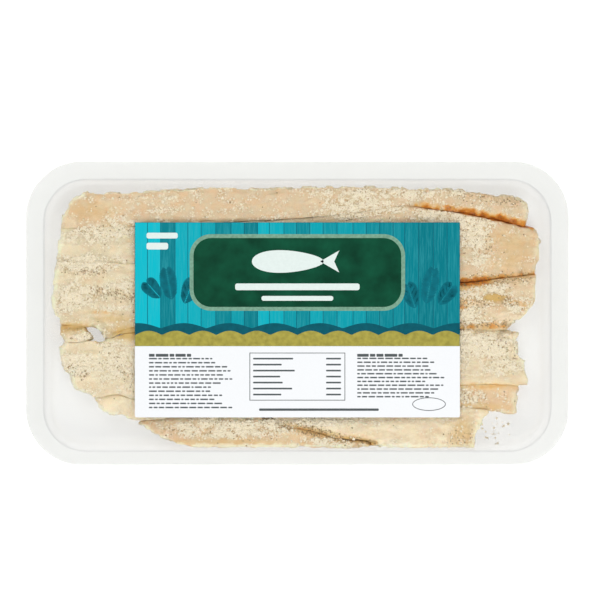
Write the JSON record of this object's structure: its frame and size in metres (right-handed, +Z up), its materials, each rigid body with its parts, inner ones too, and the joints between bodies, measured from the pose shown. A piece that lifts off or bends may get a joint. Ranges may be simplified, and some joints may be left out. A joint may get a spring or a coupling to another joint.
{
  "type": "tray pack of dried salted fish",
  "caption": "Shut, flanged plastic tray with rounded corners, holding strips of dried salted white fish under a clear sealed lid film with a rectangular label on it.",
  "frame": {"origin": "centre of the tray's outline, on the surface it stands on", "axes": "+X along the tray's length, +Y across it towards the side with the wider flange, +Z up out of the lid film"},
  "size_m": [0.227, 0.127, 0.0183],
  "materials": {
    "tray_plastic": "milky translucent thermoformed sheet, satin",
    "lid_film": "clear glossy film",
    "label_paper": "printed, semi-gloss",
    "fish_tan": "dried flesh, salt crusted",
    "fish_pale": "dried flesh, salt crusted",
    "fish_cream": "dried flesh, smooth and translucent at the edges",
    "fish_amber": "dried flesh, amber"
  },
  "bodies": {
    "root": {"tray": "tray_plastic", "lid_film": "lid_film", "label": "label_paper", "fillet_1": "fish_tan", "fillet_2": "fish_pale", "fillet_3": "fish_pale", "fillet_4": "fish_pale", "fillet_5": "fish_cream", "offcut_right": "fish_cream", "offcut_left": "fish_tan", "flake": "fish_amber"}
  },
  "joints": []
}
